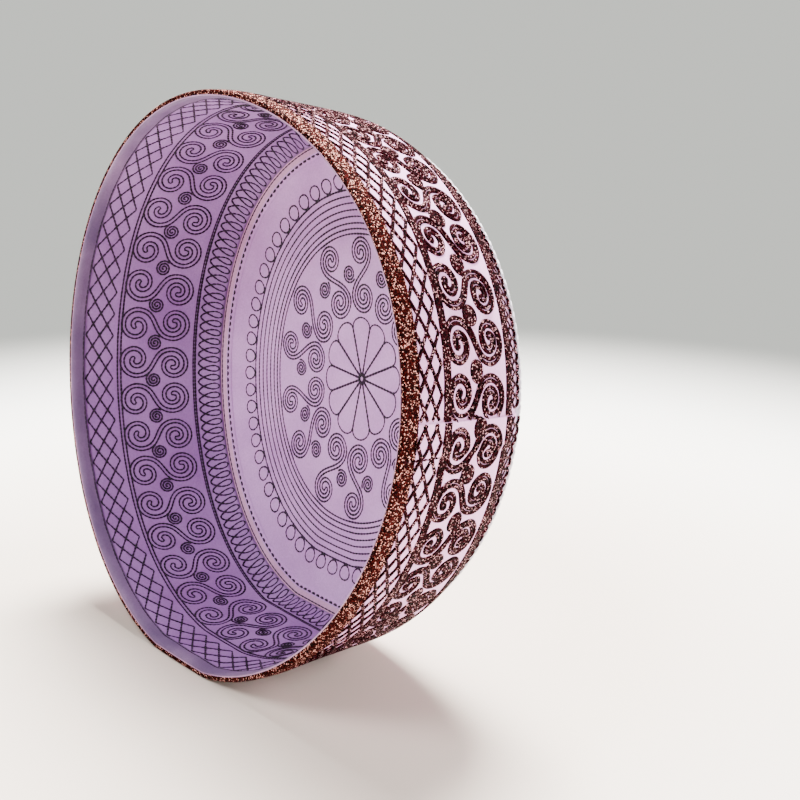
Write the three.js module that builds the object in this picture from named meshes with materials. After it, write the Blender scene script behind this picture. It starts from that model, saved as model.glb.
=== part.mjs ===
// An embroidered kufi: a round, brimless cloth cap lying on its side, as it settles by itself.
//
// A tapered band is sewn from one strip whose two ends overlap, and a slightly domed crown panel
// closes its small end. A bead of piping covers the outer corner between them and a seam tape covers
// the inner one. Dense thread binds the rim outside, and a narrow hem is turned up inside it.
//
// Every piece is first drawn on a round cap: angle round the axis, radius from it, and height from
// the rim towards the crown. One function then gives the cap its soft oval shape, leans it on its
// side and flattens what meets the floor, so neighbouring pieces keep their clearance.
//
// Units are millimetres, +Z is up, and the opening faces -Y. Angle 0 points down to the floor, and
// angles grow towards -X. The origin is on the floor, under the middle of the cap.

import * as THREE from 'three';

// Overall sizes
const RIM_RADIUS = 94.0; // outer face of the band at the rim
const CROWN_RADIUS = 83.2; // outer face of the band at its top edge
const BAND_HEIGHT = 55.4; // rim to the band's top edge, along the axis
const SHOULDER_SWELL = 3.0; // how far the wall swells beyond a straight cone
const CROWN_RISE = 7.4; // dome of the crown panel above its edge

// Cloth
const BAND_THICKNESS = 2.0;
const CROWN_THICKNESS = 1.3;
const CLEARANCE = 0.3; // between neighbouring pieces

// The overlap of the strip's two ends
const LAP_ANGLE = -91.2; // middle of the overlap
const LAP_WIDTH = 9.0; // along the wall
const LAP_STEP = 0.8; // how far the top layer stands out
const LAP_EDGE = 0.25; // width of the step itself

// Thread binding round the rim
const BINDING_HEIGHT = 5.6;
const BINDING_THICKNESS = 0.55;
const BINDING_PRESS = 0.5; // how far the binding draws the band in
const BINDING_EASE = 2.2; // length over which the floor's push fades above the binding

// Hem inside the rim
const HEM_HEIGHT = 4.0;
const HEM_THICKNESS = 0.5;
const HEM_PRESS = 0.4;

// Piping on the corner between band and crown
const PIPING_RADIUS = 1.4;
const PIPING_PROUD = 0.6; // how far it stands out from the band
const PIPING_EASE = 2.0; // length over which the floor's push fades below the piping

// Tape over the seam inside the crown
const TAPE_WIDTH = 4.5;
const TAPE_THICKNESS = 0.6;

// How the cap rests
const FLOOR_PRESS = 1.2; // how far the rim and the crown's corner are pressed flat
const BELLY_SLUMP = 2.0; // how far the wall between them sags inwards above the floor
const SLUMP_SPREAD = 50; // degrees to each side of the lowest line

// Fineness of the facets
const SEGMENTS = 90;
const PIPING_SIDES = 8;

// Shape of the wall from rim to crown: up as a share of BAND_HEIGHT, swell of SHOULDER_SWELL
const WALL_SHAPE = [
  { up: 0, swell: 0 },
  { up: 0.1, swell: 0.34 },
  { up: 0.3, swell: 0.55 },
  { up: 0.55, swell: 0.84 },
  { up: 0.8, swell: 1 },
  { up: 0.92, swell: 0.7 },
  { up: 1, swell: 0 },
];

// Dome of the crown panel: out as a share of its radius, rise of CROWN_RISE
const DOME_SHAPE = [
  { out: 0, rise: 1 },
  { out: 0.3, rise: 0.94 },
  { out: 0.58, rise: 0.79 },
  { out: 0.8, rise: 0.58 },
  { out: 0.92, rise: 0.3 },
  { out: 1, rise: 0 },
];

// Soft waves round the cap: how many there are, the angle of a crest, and the height of the crest.
// RIM_OVAL and CROWN_OVAL push the wall out, as shares of their own radius. RIM_WARP moves the rim
// towards the crown, as a share of RIM_RADIUS.
const RIM_OVAL = [
  { count: 2, crest: 109.6, share: 0.031 },
  { count: 3, crest: 6.5, share: 0.028 },
];
const RIM_WARP = [{ count: 2, crest: 122.9, share: 0.017 }];
const CROWN_OVAL = [
  { count: 2, crest: -21.5, share: 0.024 },
  { count: 3, crest: 20.2, share: 0.021 },
];

const radians = THREE.MathUtils.degToRad;
const clamp = THREE.MathUtils.clamp;

// Smooth value of column `key` in a table sorted by column `by`, with the slopes of its neighbours.
function readTable(table, by, key, at) {
  const x = clamp(at, table[0][by], table[table.length - 1][by]);
  const slope = (i) => {
    const before = table[Math.max(i - 1, 0)];
    const after = table[Math.min(i + 1, table.length - 1)];
    return (after[key] - before[key]) / (after[by] - before[by]);
  };
  let i = 0;
  while (i < table.length - 2 && x > table[i + 1][by]) i += 1;
  const span = table[i + 1][by] - table[i][by];
  const t = (x - table[i][by]) / span;
  const start = (1 + 2 * t) * (1 - t) * (1 - t) * table[i][key];
  const end = t * t * (3 - 2 * t) * table[i + 1][key];
  const bend = t * (1 - t) * ((1 - t) * slope(i) - t * slope(i + 1)) * span;
  return start + end + bend;
}

// Outer face of the band at a height above the rim.
function wallRadius(height) {
  const up = clamp(height / BAND_HEIGHT, 0, 1);
  const cone = RIM_RADIUS + (CROWN_RADIUS - RIM_RADIUS) * up;
  return cone + SHOULDER_SWELL * readTable(WALL_SHAPE, 'up', 'swell', up);
}

// The piping is a round bead on the band's top edge, and the crown panel ends just inside it.
const beadRadius = CROWN_RADIUS + PIPING_PROUD - PIPING_RADIUS;
const beadHeight = BAND_HEIGHT + CLEARANCE + PIPING_RADIUS;
const panelEdge = beadRadius - PIPING_RADIUS - CLEARANCE;

// Outer face of the crown panel at a radius. Its edge is level with the middle of the piping.
function crownHeight(radius) {
  const rise = CROWN_RISE * readTable(DOME_SHAPE, 'out', 'rise', radius / panelEdge);
  return beadHeight + CROWN_THICKNESS / 2 + rise;
}

function waves(table, angle) {
  const wave = (row) => row.share * Math.cos(row.count * radians(angle - row.crest));
  return table.reduce((sum, row) => sum + wave(row), 0);
}

// Radius and height of a point once the cap has its oval, warped shape.
function shapeSoftly(angle, radius, height) {
  const level = clamp(height / BAND_HEIGHT, 0, 1);
  const rimPush = RIM_RADIUS * waves(RIM_OVAL, angle);
  const crownPush = CROWN_RADIUS * waves(CROWN_OVAL, angle);
  const fromFoot = Math.abs(THREE.MathUtils.euclideanModulo(angle + 180, 360) - 180);
  const sag = fromFoot < SLUMP_SPREAD ? Math.cos(radians((90 * fromFoot) / SLUMP_SPREAD)) ** 2 : 0;
  const slump = BELLY_SLUMP * sag * Math.sin(Math.PI * level);
  const reach = Math.min(radius / CROWN_RADIUS, 1);
  return {
    radius: radius + reach * (rimPush * (1 - level) + crownPush * level - slump),
    height: height + RIM_RADIUS * waves(RIM_WARP, angle) * (1 - level),
  };
}

// The binding's leg lies in the groove that it presses into the band.
const legInner = CLEARANCE - BINDING_PRESS;
const bindingProud = legInner + BINDING_THICKNESS;

// The outermost face of the whole cap at a height: the binding, the band or the piping.
function outermostRadius(height) {
  const binding = clamp((BINDING_HEIGHT + BINDING_EASE - height) / BINDING_EASE, 0, 1);
  const piping = clamp((height - BAND_HEIGHT + PIPING_EASE) / PIPING_EASE, 0, 1);
  return wallRadius(height) + bindingProud * binding + PIPING_PROUD * piping;
}

// The cap leans so that the rim and the crown's corner press equally on the floor.
const rimFoot = shapeSoftly(0, outermostRadius(0), 0);
const crownFoot = shapeSoftly(0, outermostRadius(beadHeight), beadHeight);
const LEAN = Math.atan2(rimFoot.radius - crownFoot.radius, crownFoot.height - rimFoot.height);
const AXIS_HEIGHT = rimFoot.radius * Math.cos(LEAN) + rimFoot.height * Math.sin(LEAN) - FLOOR_PRESS;

// Height above the floor of a softly shaped point, before it is flattened.
function heightAboveFloor(angle, soft) {
  const drop = soft.radius * Math.cos(radians(angle)) * Math.cos(LEAN);
  return AXIS_HEIGHT - drop - soft.height * Math.sin(LEAN);
}

// Place of a point of the round cap in the finished, resting cap. Whatever the floor pushes up
// takes the cloth above it along, so the wall keeps its thickness there.
function place(angle, radius, height) {
  const soft = shapeSoftly(angle, radius, height);
  const level = clamp(height, 0, beadHeight + PIPING_RADIUS);
  const skin = shapeSoftly(angle, outermostRadius(level), level);
  const push = Math.max(0, -heightAboveFloor(angle, skin));
  const share = THREE.MathUtils.smoothstep(radius / CROWN_RADIUS, 0.5, 0.95);
  const side = soft.radius * Math.sin(radians(angle));
  const down = soft.radius * Math.cos(radians(angle));
  return new THREE.Vector3(
    -side,
    soft.height * Math.cos(LEAN) - down * Math.sin(LEAN),
    heightAboveFloor(angle, soft) + push * share,
  );
}

// Angles of the facets: even steps, with the lap's two edges added.
const lapHalf = THREE.MathUtils.radToDeg(LAP_WIDTH / (RIM_RADIUS + CROWN_RADIUS));
const lapEdge = THREE.MathUtils.radToDeg((2 * LAP_EDGE) / (RIM_RADIUS + CROWN_RADIUS));
const lapAngles = [-lapHalf - lapEdge, -lapHalf, lapHalf, lapHalf + lapEdge].map((a) => LAP_ANGLE + a);
const evenAngles = Array.from({ length: SEGMENTS }, (_, i) => (360 * i) / SEGMENTS - 180);
const nearLap = (angle) => lapAngles.some((edge) => Math.abs(edge - angle) < 90 / SEGMENTS);
const ANGLES = [...evenAngles.filter((angle) => !nearLap(angle)), ...lapAngles].sort((a, b) => a - b);

function lapRise(angle) {
  return Math.abs(angle - LAP_ANGLE) < lapHalf + lapEdge / 2 ? LAP_STEP : 0;
}

// A closed ring: `section(angle)` gives the same number of [radius, height] corners at every angle,
// in order from the rim up the outer face and back down the inner one.
function ringGeometry(section) {
  const rows = ANGLES.map((angle) => section(angle).map(([radius, height]) => place(angle, radius, height)));
  const count = rows[0].length;
  const points = rows.flat();
  const index = [];
  rows.forEach((_, i) => {
    const j = (i + 1) % rows.length;
    for (let k = 0; k < count; k += 1) {
      const l = (k + 1) % count;
      const [a, b, c, d] = [i * count + k, j * count + k, j * count + l, i * count + l];
      index.push(a, c, d, a, b, c);
    }
  });
  return solid(points, index);
}

// A closed disc: `profile` lists [radius, height] corners from the top pole out to the edge and back
// to the bottom pole. The poles have no radius.
function discGeometry(profile) {
  const poles = [profile[0], profile[profile.length - 1]];
  const rim = profile.slice(1, -1);
  const points = ANGLES.flatMap((angle) => rim.map(([radius, height]) => place(angle, radius, height)));
  const top = points.push(place(0, 0, poles[0][1])) - 1;
  const bottom = points.push(place(0, 0, poles[1][1])) - 1;
  const index = [];
  ANGLES.forEach((_, i) => {
    const j = (i + 1) % ANGLES.length;
    const [near, far] = [i * rim.length, j * rim.length];
    index.push(top, near, far);
    for (let k = 0; k < rim.length - 1; k += 1) {
      index.push(near + k, near + k + 1, far + k + 1, near + k, far + k + 1, far + k);
    }
    index.push(bottom, far + rim.length - 1, near + rim.length - 1);
  });
  return solid(points, index);
}

function solid(points, index) {
  const geometry = new THREE.BufferGeometry().setFromPoints(points);
  geometry.setIndex(index);
  geometry.computeVertexNormals();
  return geometry;
}

// Heights of the stations between two ends, at the table's shares of BAND_HEIGHT.
function stations(from, to) {
  const between = WALL_SHAPE.map((row) => row.up * BAND_HEIGHT).filter((z) => z > from + 1 && z < to - 1);
  return [from, ...between, to];
}

// The band: pressed in under the binding outside and under the hem inside, with the lap on top.
const bandFoot = BINDING_THICKNESS + CLEARANCE;
const bindingShadow = BINDING_HEIGHT + CLEARANCE;
const hemTop = bandFoot + HEM_HEIGHT;
const hemShadow = hemTop + CLEARANCE;

function bandSection(angle) {
  const rise = lapRise(angle);
  const outer = stations(bindingShadow + LAP_EDGE, BAND_HEIGHT);
  const inner = stations(hemShadow + LAP_EDGE, BAND_HEIGHT).reverse();
  const last = outer.length - 1;
  return [
    [wallRadius(bandFoot) - BINDING_PRESS, bandFoot],
    [wallRadius(bindingShadow) - BINDING_PRESS, bindingShadow],
    ...outer.map((z, i) => [wallRadius(z) + (i === last ? 0 : rise), z]),
    ...inner.map((z) => [wallRadius(z) - BAND_THICKNESS, z]),
    [wallRadius(hemShadow) - BAND_THICKNESS + HEM_PRESS, hemShadow],
    [wallRadius(bandFoot) - BAND_THICKNESS + HEM_PRESS, bandFoot],
  ];
}

// The binding: a leg up the outside and a foot under the rim's edge.
const hemOuter = -BAND_THICKNESS + HEM_PRESS - CLEARANCE;

function bindingSection() {
  return [
    [wallRadius(0) + bindingProud, 0],
    [wallRadius(BINDING_HEIGHT / 2) + bindingProud, BINDING_HEIGHT / 2],
    [wallRadius(BINDING_HEIGHT) + bindingProud, BINDING_HEIGHT],
    [wallRadius(BINDING_HEIGHT) + legInner, BINDING_HEIGHT],
    [wallRadius(BINDING_HEIGHT / 2) + legInner, BINDING_HEIGHT / 2],
    [wallRadius(BINDING_THICKNESS) + legInner, BINDING_THICKNESS],
    [wallRadius(BINDING_THICKNESS) + hemOuter - HEM_THICKNESS, BINDING_THICKNESS],
    [wallRadius(0) + hemOuter - HEM_THICKNESS, 0],
  ];
}

function hemSection() {
  return [
    [wallRadius(bandFoot) + hemOuter, bandFoot],
    [wallRadius(hemTop) + hemOuter, hemTop],
    [wallRadius(hemTop) + hemOuter - HEM_THICKNESS, hemTop],
    [wallRadius(bandFoot) + hemOuter - HEM_THICKNESS, bandFoot],
  ];
}

// The piping's sides touch a circle of PIPING_RADIUS, and one of them faces straight out.
function pipingSection() {
  const corner = PIPING_RADIUS / Math.cos(Math.PI / PIPING_SIDES);
  return Array.from({ length: PIPING_SIDES }, (_, i) => {
    const turn = (2 * Math.PI * (i + 0.5)) / PIPING_SIDES;
    return [beadRadius + corner * Math.cos(turn), beadHeight + corner * Math.sin(turn)];
  });
}

function crownProfile() {
  const radii = DOME_SHAPE.map((row) => row.out * panelEdge);
  const upper = radii.map((r) => [r, crownHeight(r)]);
  const lower = radii.map((r) => [r, crownHeight(r) - CROWN_THICKNESS]).reverse();
  return [...upper, ...lower];
}

// The seam tape: it lies under the crown panel's edge and the piping, up to the band's inner face.
function tapeSection() {
  const outer = CROWN_RADIUS - BAND_THICKNESS - CLEARANCE;
  const inner = outer - TAPE_WIDTH;
  const under = (radius) => crownHeight(radius) - CROWN_THICKNESS - CLEARANCE;
  const upper = [
    [outer, beadHeight - PIPING_RADIUS],
    [panelEdge, under(panelEdge)],
    [inner, under(inner)],
  ];
  const lower = upper.map(([radius, height]) => [radius, height - TAPE_THICKNESS]).reverse();
  return [...upper, ...lower];
}

function cloth(color, roughness) {
  return new THREE.MeshStandardMaterial({ color, roughness, metalness: 0 });
}

const bandCloth = cloth(0xe2d9ea, 0.9);
const hemCloth = cloth(0xa9a3b8, 0.9);
const pipingCloth = cloth(0xefeaf2, 0.85);
const tapeCloth = cloth(0xc9a9b4, 0.9);
const darkThread = new THREE.MeshStandardMaterial({ color: 0x4a1c1c, roughness: 0.5, metalness: 0.2 });

const pieces = [
  { name: 'band', geometry: ringGeometry(bandSection), material: bandCloth },
  { name: 'crown_panel', geometry: discGeometry(crownProfile()), material: bandCloth },
  { name: 'crown_piping', geometry: ringGeometry(pipingSection), material: pipingCloth },
  { name: 'rim_binding', geometry: ringGeometry(bindingSection), material: darkThread },
  { name: 'inner_hem', geometry: ringGeometry(hemSection), material: hemCloth },
  { name: 'crown_seam_tape', geometry: ringGeometry(tapeSection), material: tapeCloth },
];

const kufi = new THREE.Group();
kufi.name = 'kufi';
for (const { name, geometry, material } of pieces) {
  const mesh = new THREE.Mesh(geometry, material);
  mesh.name = name;
  kufi.add(mesh);
}

// The origin is under the middle of the cap.
const middle = new THREE.Box3().setFromObject(kufi).getCenter(new THREE.Vector3());
kufi.position.set(-middle.x, -middle.y, 0);
kufi.updateMatrixWorld(true);

export default kufi;
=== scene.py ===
"""Dresses an embroidered kufi that lies on its side.

The cap's cloth, piping, binding and stitches are worked out on a round cap, as angle, radius and
height, and CapForm then gives them the soft oval shape in which the cap rests. Lengths are in
millimetres until CapForm turns them into metres.
"""

import logging
import math
from collections.abc import Sequence
from dataclasses import dataclass, field
from enum import Enum
from typing import Protocol

import bpy
import numpy as np
from mathutils import Matrix, Vector

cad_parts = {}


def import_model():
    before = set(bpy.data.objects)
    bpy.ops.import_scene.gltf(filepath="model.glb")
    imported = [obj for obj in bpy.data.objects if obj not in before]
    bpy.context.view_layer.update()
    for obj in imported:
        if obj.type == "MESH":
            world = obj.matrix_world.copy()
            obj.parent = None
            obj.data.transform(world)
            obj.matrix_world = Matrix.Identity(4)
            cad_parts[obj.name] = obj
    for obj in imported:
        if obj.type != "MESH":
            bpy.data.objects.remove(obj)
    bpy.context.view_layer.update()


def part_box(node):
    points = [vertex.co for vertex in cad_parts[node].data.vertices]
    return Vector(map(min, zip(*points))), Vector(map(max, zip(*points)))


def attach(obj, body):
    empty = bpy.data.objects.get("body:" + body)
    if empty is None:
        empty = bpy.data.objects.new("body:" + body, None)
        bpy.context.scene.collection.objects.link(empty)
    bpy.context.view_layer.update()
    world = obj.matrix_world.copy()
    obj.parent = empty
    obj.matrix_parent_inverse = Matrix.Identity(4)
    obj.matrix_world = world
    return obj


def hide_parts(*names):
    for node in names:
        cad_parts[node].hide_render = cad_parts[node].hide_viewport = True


Array = np.ndarray
Colour = tuple[float, float, float]
Spot = tuple[float, float]
Table = tuple[Spot, ...]
Stops = Sequence[tuple[float, Colour]]

LOG = logging.getLogger("kufi")
BODY = "root"
MM_PER_METRE = 1000.0
MM_PER_CM = 10.0
MM_PER_DEGREE = 1.55  # along the middle of the wall
SPIRAL_POINTS = 30  # to a turn
JOINT_POINTS = 24  # along the curve that joins two spirals
END_POINTS = 6  # round the end of a ribbon
END_HALF_TURN = 75.0  # degrees from the front of that end to its first and last point
MIX_A, MIX_B, MIX_RESULT = 6, 7, 2  # the colour sockets of a mix node


class Side(Enum):
    """The face of the cloth that something lies on. The value is the way outwards from it."""

    OUTSIDE = 1.0
    INSIDE = -1.0


def screen(red: int, green: int, blue: int) -> Colour:
    """Linear colour of three screen values from 0 to 255."""
    return tuple((value / 255) ** 2.2 for value in (red, green, blue))


def grey(value: float) -> Colour:
    """A linear grey."""
    return (value, value, value)


def together(*parts: Array) -> Array:
    """Arrays spread to one shape and joined as the columns of a new last axis."""
    return np.stack(np.broadcast_arrays(*parts), axis=-1)


def angles_round(count: int) -> Array:
    """Evenly spread angles round the cap from 0, one to a row."""
    return (np.arange(count) * 360.0 / count)[:, None]


def smoothstep(value: Array, low: float, high: float) -> Array:
    """Smooth rise from 0 at low to 1 at high: share squared times three less twice the share."""
    share = np.clip((value - low) / (high - low), 0.0, 1.0)
    return share * share * (3.0 - 2.0 * share)


def read_table(table: Table, at: Array) -> Array:
    """Smooth value of a table between its rows.

    Each stretch is a cubic whose slope at a row is that of the line between the row's neighbours.

    Args:
        table: rows of (place, value), in order of place.
        at: places to read, held between the first and the last row.

    Returns:
        The values at those places.
    """
    places, values = np.array(table, float).T
    last = len(places) - 1
    rows = np.arange(last + 1)
    before, after = np.maximum(rows - 1, 0), np.minimum(rows + 1, last)
    slope = (values[after] - values[before]) / (places[after] - places[before])
    x = np.clip(at, places[0], places[-1])
    i = np.clip(np.searchsorted(places, x, side="left") - 1, 0, last - 1)
    span = places[i + 1] - places[i]
    t = (x - places[i]) / span
    start = (1 + 2 * t) * (1 - t) ** 2 * values[i]
    end = t * t * (3 - 2 * t) * values[i + 1]
    return start + end + t * (1 - t) * ((1 - t) * slope[i] - t * slope[i + 1]) * span


@dataclass(frozen=True)
class Wave:
    """A soft wave round the cap: how many crests, the angle of one, and its height as a share."""

    count: int
    crest: float
    share: float


def ripple(waves: tuple[Wave, ...], angle: Array) -> Array:
    """Sum of the waves at an angle: each is its share times the cosine of its turned angle."""
    return sum(w.share * np.cos(w.count * np.radians(angle - w.crest)) for w in waves)


@dataclass
class CapForm:
    """The cap's resting shape, with the sizes of its solids."""

    rim_radius: float = 94.0
    crown_radius: float = 83.2
    band_height: float = 55.4
    shoulder_swell: float = 3.0
    crown_rise: float = 7.4
    band_thickness: float = 2.0
    crown_thickness: float = 1.3
    clearance: float = 0.3
    lap_angle: float = -91.2
    lap_width: float = 9.0
    lap_step: float = 0.8
    lap_edge: float = 0.12
    lap_ease: float = 0.9
    binding_height: float = 5.6
    binding_thickness: float = 0.55
    binding_press: float = 0.5
    binding_ease: float = 2.2
    hem_height: float = 4.0
    hem_thickness: float = 0.5
    hem_press: float = 0.4
    piping_radius: float = 1.4
    piping_proud: float = 0.6
    piping_ease: float = 2.0
    tape_width: float = 4.5
    tape_thickness: float = 0.6
    corner_depth: float = 0.9
    corner_start: float = 51.0
    floor_press: float = 1.2
    press_reach: Spot = (0.5, 0.95)
    settle_step: float = 4.0
    belly_slump: float = 2.0
    slump_spread: float = 50.0
    wall_shape: Table = ((0, 0), (0.1, 0.34), (0.3, 0.55), (0.55, 0.84), (0.8, 1), (0.92, 0.7), (1, 0))
    dome_shape: Table = ((0, 1), (0.3, 0.94), (0.58, 0.79), (0.8, 0.58), (0.92, 0.3), (1, 0))
    rim_oval: tuple[Wave, ...] = (Wave(2, 109.6, 0.031), Wave(3, 6.5, 0.028))
    rim_warp: tuple[Wave, ...] = (Wave(2, 122.9, 0.017),)
    crown_oval: tuple[Wave, ...] = (Wave(2, -21.5, 0.024), Wave(3, 20.2, 0.021))
    shift: Array = field(default_factory=lambda: np.zeros(3))

    def __post_init__(self) -> None:
        """Works out the lean, the height of the axis and the places of the pieces' edges."""
        self.bead_radius = self.crown_radius + self.piping_proud - self.piping_radius
        self.bead_height = self.band_height + self.clearance + self.piping_radius
        self.panel_edge = self.bead_radius - self.piping_radius - self.clearance
        self.leg_inner = self.clearance - self.binding_press
        self.binding_proud = self.leg_inner + self.binding_thickness
        self.band_foot = self.binding_thickness + self.clearance
        self.hem_top = self.band_foot + self.hem_height
        self.hem_outer = -self.band_thickness + self.hem_press - self.clearance
        self.lap_half = math.degrees(self.lap_width / (self.rim_radius + self.crown_radius))
        rim = self.soften(0.0, self.outermost(0.0), 0.0)
        crown = self.soften(0.0, self.outermost(self.bead_height), self.bead_height)
        self.lean = math.atan2(rim[0] - crown[0], crown[1] - rim[1])
        self.axis_height = rim[0] * math.cos(self.lean) + rim[1] * math.sin(self.lean) - self.floor_press

    def wall(self, height: Array) -> Array:
        """Radius of the band's outer face: a cone plus the shoulder's swell."""
        up = np.clip(np.asarray(height, float) / self.band_height, 0.0, 1.0)
        cone = self.rim_radius + (self.crown_radius - self.rim_radius) * up
        return cone + self.shoulder_swell * read_table(self.wall_shape, up)

    def dome(self, radius: Array) -> Array:
        """Height of the crown panel's outer face at a radius."""
        rise = read_table(self.dome_shape, np.asarray(radius, float) / self.panel_edge)
        return self.bead_height + self.crown_thickness / 2 + self.crown_rise * rise

    def lap_rise(self, angle: Array) -> Array:
        """How far the strip's top end stands out: a sharp step up, flat, and a soft step down."""
        away = np.mod(np.asarray(angle, float) - self.lap_angle + 180.0, 360.0) - 180.0
        up = smoothstep(away, -self.lap_half - self.lap_edge, -self.lap_half + self.lap_edge)
        down = smoothstep(away, self.lap_half - self.lap_ease, self.lap_half + self.lap_ease)
        return self.lap_step * up * (1.0 - down)

    def corner_fill(self, height: Array) -> Array:
        """How far the lining stands in at the top of the wall, where the seam's cloth is folded."""
        return self.corner_depth * smoothstep(height, self.corner_start, self.band_height)

    def soften(self, angle: Array, radius: Array, height: Array) -> tuple[Array, Array]:
        """Radius and height of a point once the cap has its soft oval shape.

        The rim's waves fade out towards the crown and the crown's waves fade in, and the lowest
        part of the wall sags inwards.
        """
        level = np.clip(np.asarray(height, float) / self.band_height, 0.0, 1.0)
        rim_push = self.rim_radius * ripple(self.rim_oval, angle)
        crown_push = self.crown_radius * ripple(self.crown_oval, angle)
        from_foot = np.abs(np.mod(np.asarray(angle, float) + 180.0, 360.0) - 180.0)
        sag = np.cos(np.radians(90.0 * np.minimum(from_foot / self.slump_spread, 1.0))) ** 2
        slump = self.belly_slump * sag * np.sin(np.pi * level)
        reach = np.minimum(np.asarray(radius, float) / self.crown_radius, 1.0)
        soft_radius = radius + reach * (rim_push * (1 - level) + crown_push * level - slump)
        return soft_radius, height + self.rim_radius * ripple(self.rim_warp, angle) * (1 - level)

    def outermost(self, height: Array) -> Array:
        """Radius of the outermost face of the whole cap: the binding, the band or the piping."""
        height = np.asarray(height, float)
        binding = np.clip((self.binding_height + self.binding_ease - height) / self.binding_ease, 0, 1)
        piping = np.clip((height - self.band_height + self.piping_ease) / self.piping_ease, 0, 1)
        return self.wall(height) + self.binding_proud * binding + self.piping_proud * piping

    def above_floor(self, angle: Array, radius: Array, height: Array) -> Array:
        """Height above the floor of a softly shaped point, before it is flattened."""
        drop = radius * np.cos(np.radians(angle)) * math.cos(self.lean)
        return self.axis_height - drop - height * math.sin(self.lean)

    def place(self, angle: Array, radius: Array, height: Array) -> Array:
        """Places of points of the round cap in the resting cap, in metres.

        The floor pushes up whatever of the outermost face is below it and takes the cloth above
        along, so the wall keeps its thickness.

        Args:
            angle: degrees round the axis, 0 at the floor and 90 towards -X.
            radius: distance from the axis.
            height: distance from the rim towards the crown.

        Returns:
            An array of the same shape with x, y and z added as its last axis.
        """
        angle, radius, height = np.broadcast_arrays(angle, radius, height)
        soft = self.soften(angle, radius, height)
        level = np.clip(height, 0.0, self.bead_height + self.piping_radius)
        skin = self.soften(angle, self.outermost(level), level)
        push = np.maximum(0.0, -self.above_floor(angle, *skin))
        push = push * smoothstep(radius / self.crown_radius, *self.press_reach)
        side = soft[0] * np.sin(np.radians(angle))
        down = soft[0] * np.cos(np.radians(angle))
        along = soft[1] * math.cos(self.lean) - down * math.sin(self.lean)
        up = np.maximum(self.above_floor(angle, *soft) + push, 0.0)
        return (together(-side, along, up) + self.shift) / MM_PER_METRE

    def settle(self) -> None:
        """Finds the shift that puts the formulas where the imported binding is."""
        angle = np.arange(-180.0, 180.0, self.settle_step)[:, None]
        height = np.array([0.0, self.binding_height / 2, self.binding_height])
        ring = self.place(angle, self.wall(height) + self.binding_proud, height).reshape(-1, 3)
        low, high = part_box("rim_binding")
        packed = (np.array(low) + np.array(high)) * MM_PER_METRE / 2
        found = (ring.min(axis=0) + ring.max(axis=0)) * MM_PER_METRE / 2
        self.shift = np.array([packed[0] - found[0], packed[1] - found[1], 0.0])
        LOG.info("shift of the cap %s mm", np.round(self.shift, 2))


@dataclass(frozen=True)
class ClothGrid:
    """Points of a surface on a grid, with the places that its finish reads."""

    points: Array
    uv: Array
    faces: tuple[Array, ...]
    slots: Array | None = None


def grid_faces(rows: int, columns: int, round_rows: bool, round_columns: bool) -> Array:
    """Corners of the quads of a grid of vertices, which may close on itself either way."""
    i = np.arange(rows if round_rows else rows - 1)[:, None]
    j = np.arange(columns if round_columns else columns - 1)[None, :]
    below, right = (i + 1) % rows, (j + 1) % columns
    corners = [i * columns + j, below * columns + j, below * columns + right, i * columns + right]
    return np.stack([np.broadcast_to(c, (i.size, j.size)) for c in corners], axis=-1).reshape(-1, 4)


def volume(points: Array, faces: tuple[Array, ...]) -> float:
    """Signed volume: a sixth of the sum of first corner dot second cross third, fan by fan."""
    total = 0.0
    for group in faces:
        for k in range(1, group.shape[1] - 1):
            a, b, c = points[group[:, 0]], points[group[:, k]], points[group[:, k + 1]]
            total += float(np.einsum("ij,ij->", a, np.cross(b, c)))
    return total / 6.0


def make_piece(name: str, grid: ClothGrid, finishes: list[bpy.types.Material]) -> bpy.types.Object:
    """Makes a closed mesh object whose faces point outwards, smooth, with its UV map.

    Args:
        name: name of the piece.
        grid: its points, faces, UV places and slots.
        finishes: its materials, in the order of the slots.

    Returns:
        The new object, riding on the cap's body.
    """
    points = grid.points.reshape(-1, 3)
    faces = grid.faces
    if volume(points - points.mean(axis=0), faces) < 0:
        faces = tuple(group[:, ::-1] for group in faces)
    loops = np.concatenate([group.reshape(-1) for group in faces])
    sizes = np.concatenate([np.full(len(group), group.shape[1]) for group in faces])
    mesh = bpy.data.meshes.new(name)
    mesh.vertices.add(len(points))
    mesh.vertices.foreach_set("co", points.reshape(-1).astype(np.float32))
    mesh.loops.add(len(loops))
    mesh.loops.foreach_set("vertex_index", loops.astype(np.int32))
    mesh.polygons.add(len(sizes))
    mesh.polygons.foreach_set("loop_start", (np.cumsum(sizes) - sizes).astype(np.int32))
    if grid.slots is not None:
        mesh.polygons.foreach_set("material_index", grid.slots.astype(np.int32))
    layer = mesh.uv_layers.new(name="UVMap")
    layer.uv.foreach_set("vector", grid.uv.reshape(-1, 2)[loops].reshape(-1).astype(np.float32))
    mesh.update(calc_edges=True)
    mesh.shade_smooth()
    for finish in finishes:
        mesh.materials.append(finish)
    piece = bpy.data.objects.new(name, mesh)
    bpy.context.scene.collection.objects.link(piece)
    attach(piece, BODY)
    LOG.info("%s: %d triangles", name, int((sizes - 2).sum()))
    return piece


class Ground(Protocol):
    """A face of cloth that a stitch can be laid on."""

    def lay(self, plane: Array, lift: Array) -> Array:
        """Places of points of the flat pattern, at a height above the cloth."""


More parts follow.
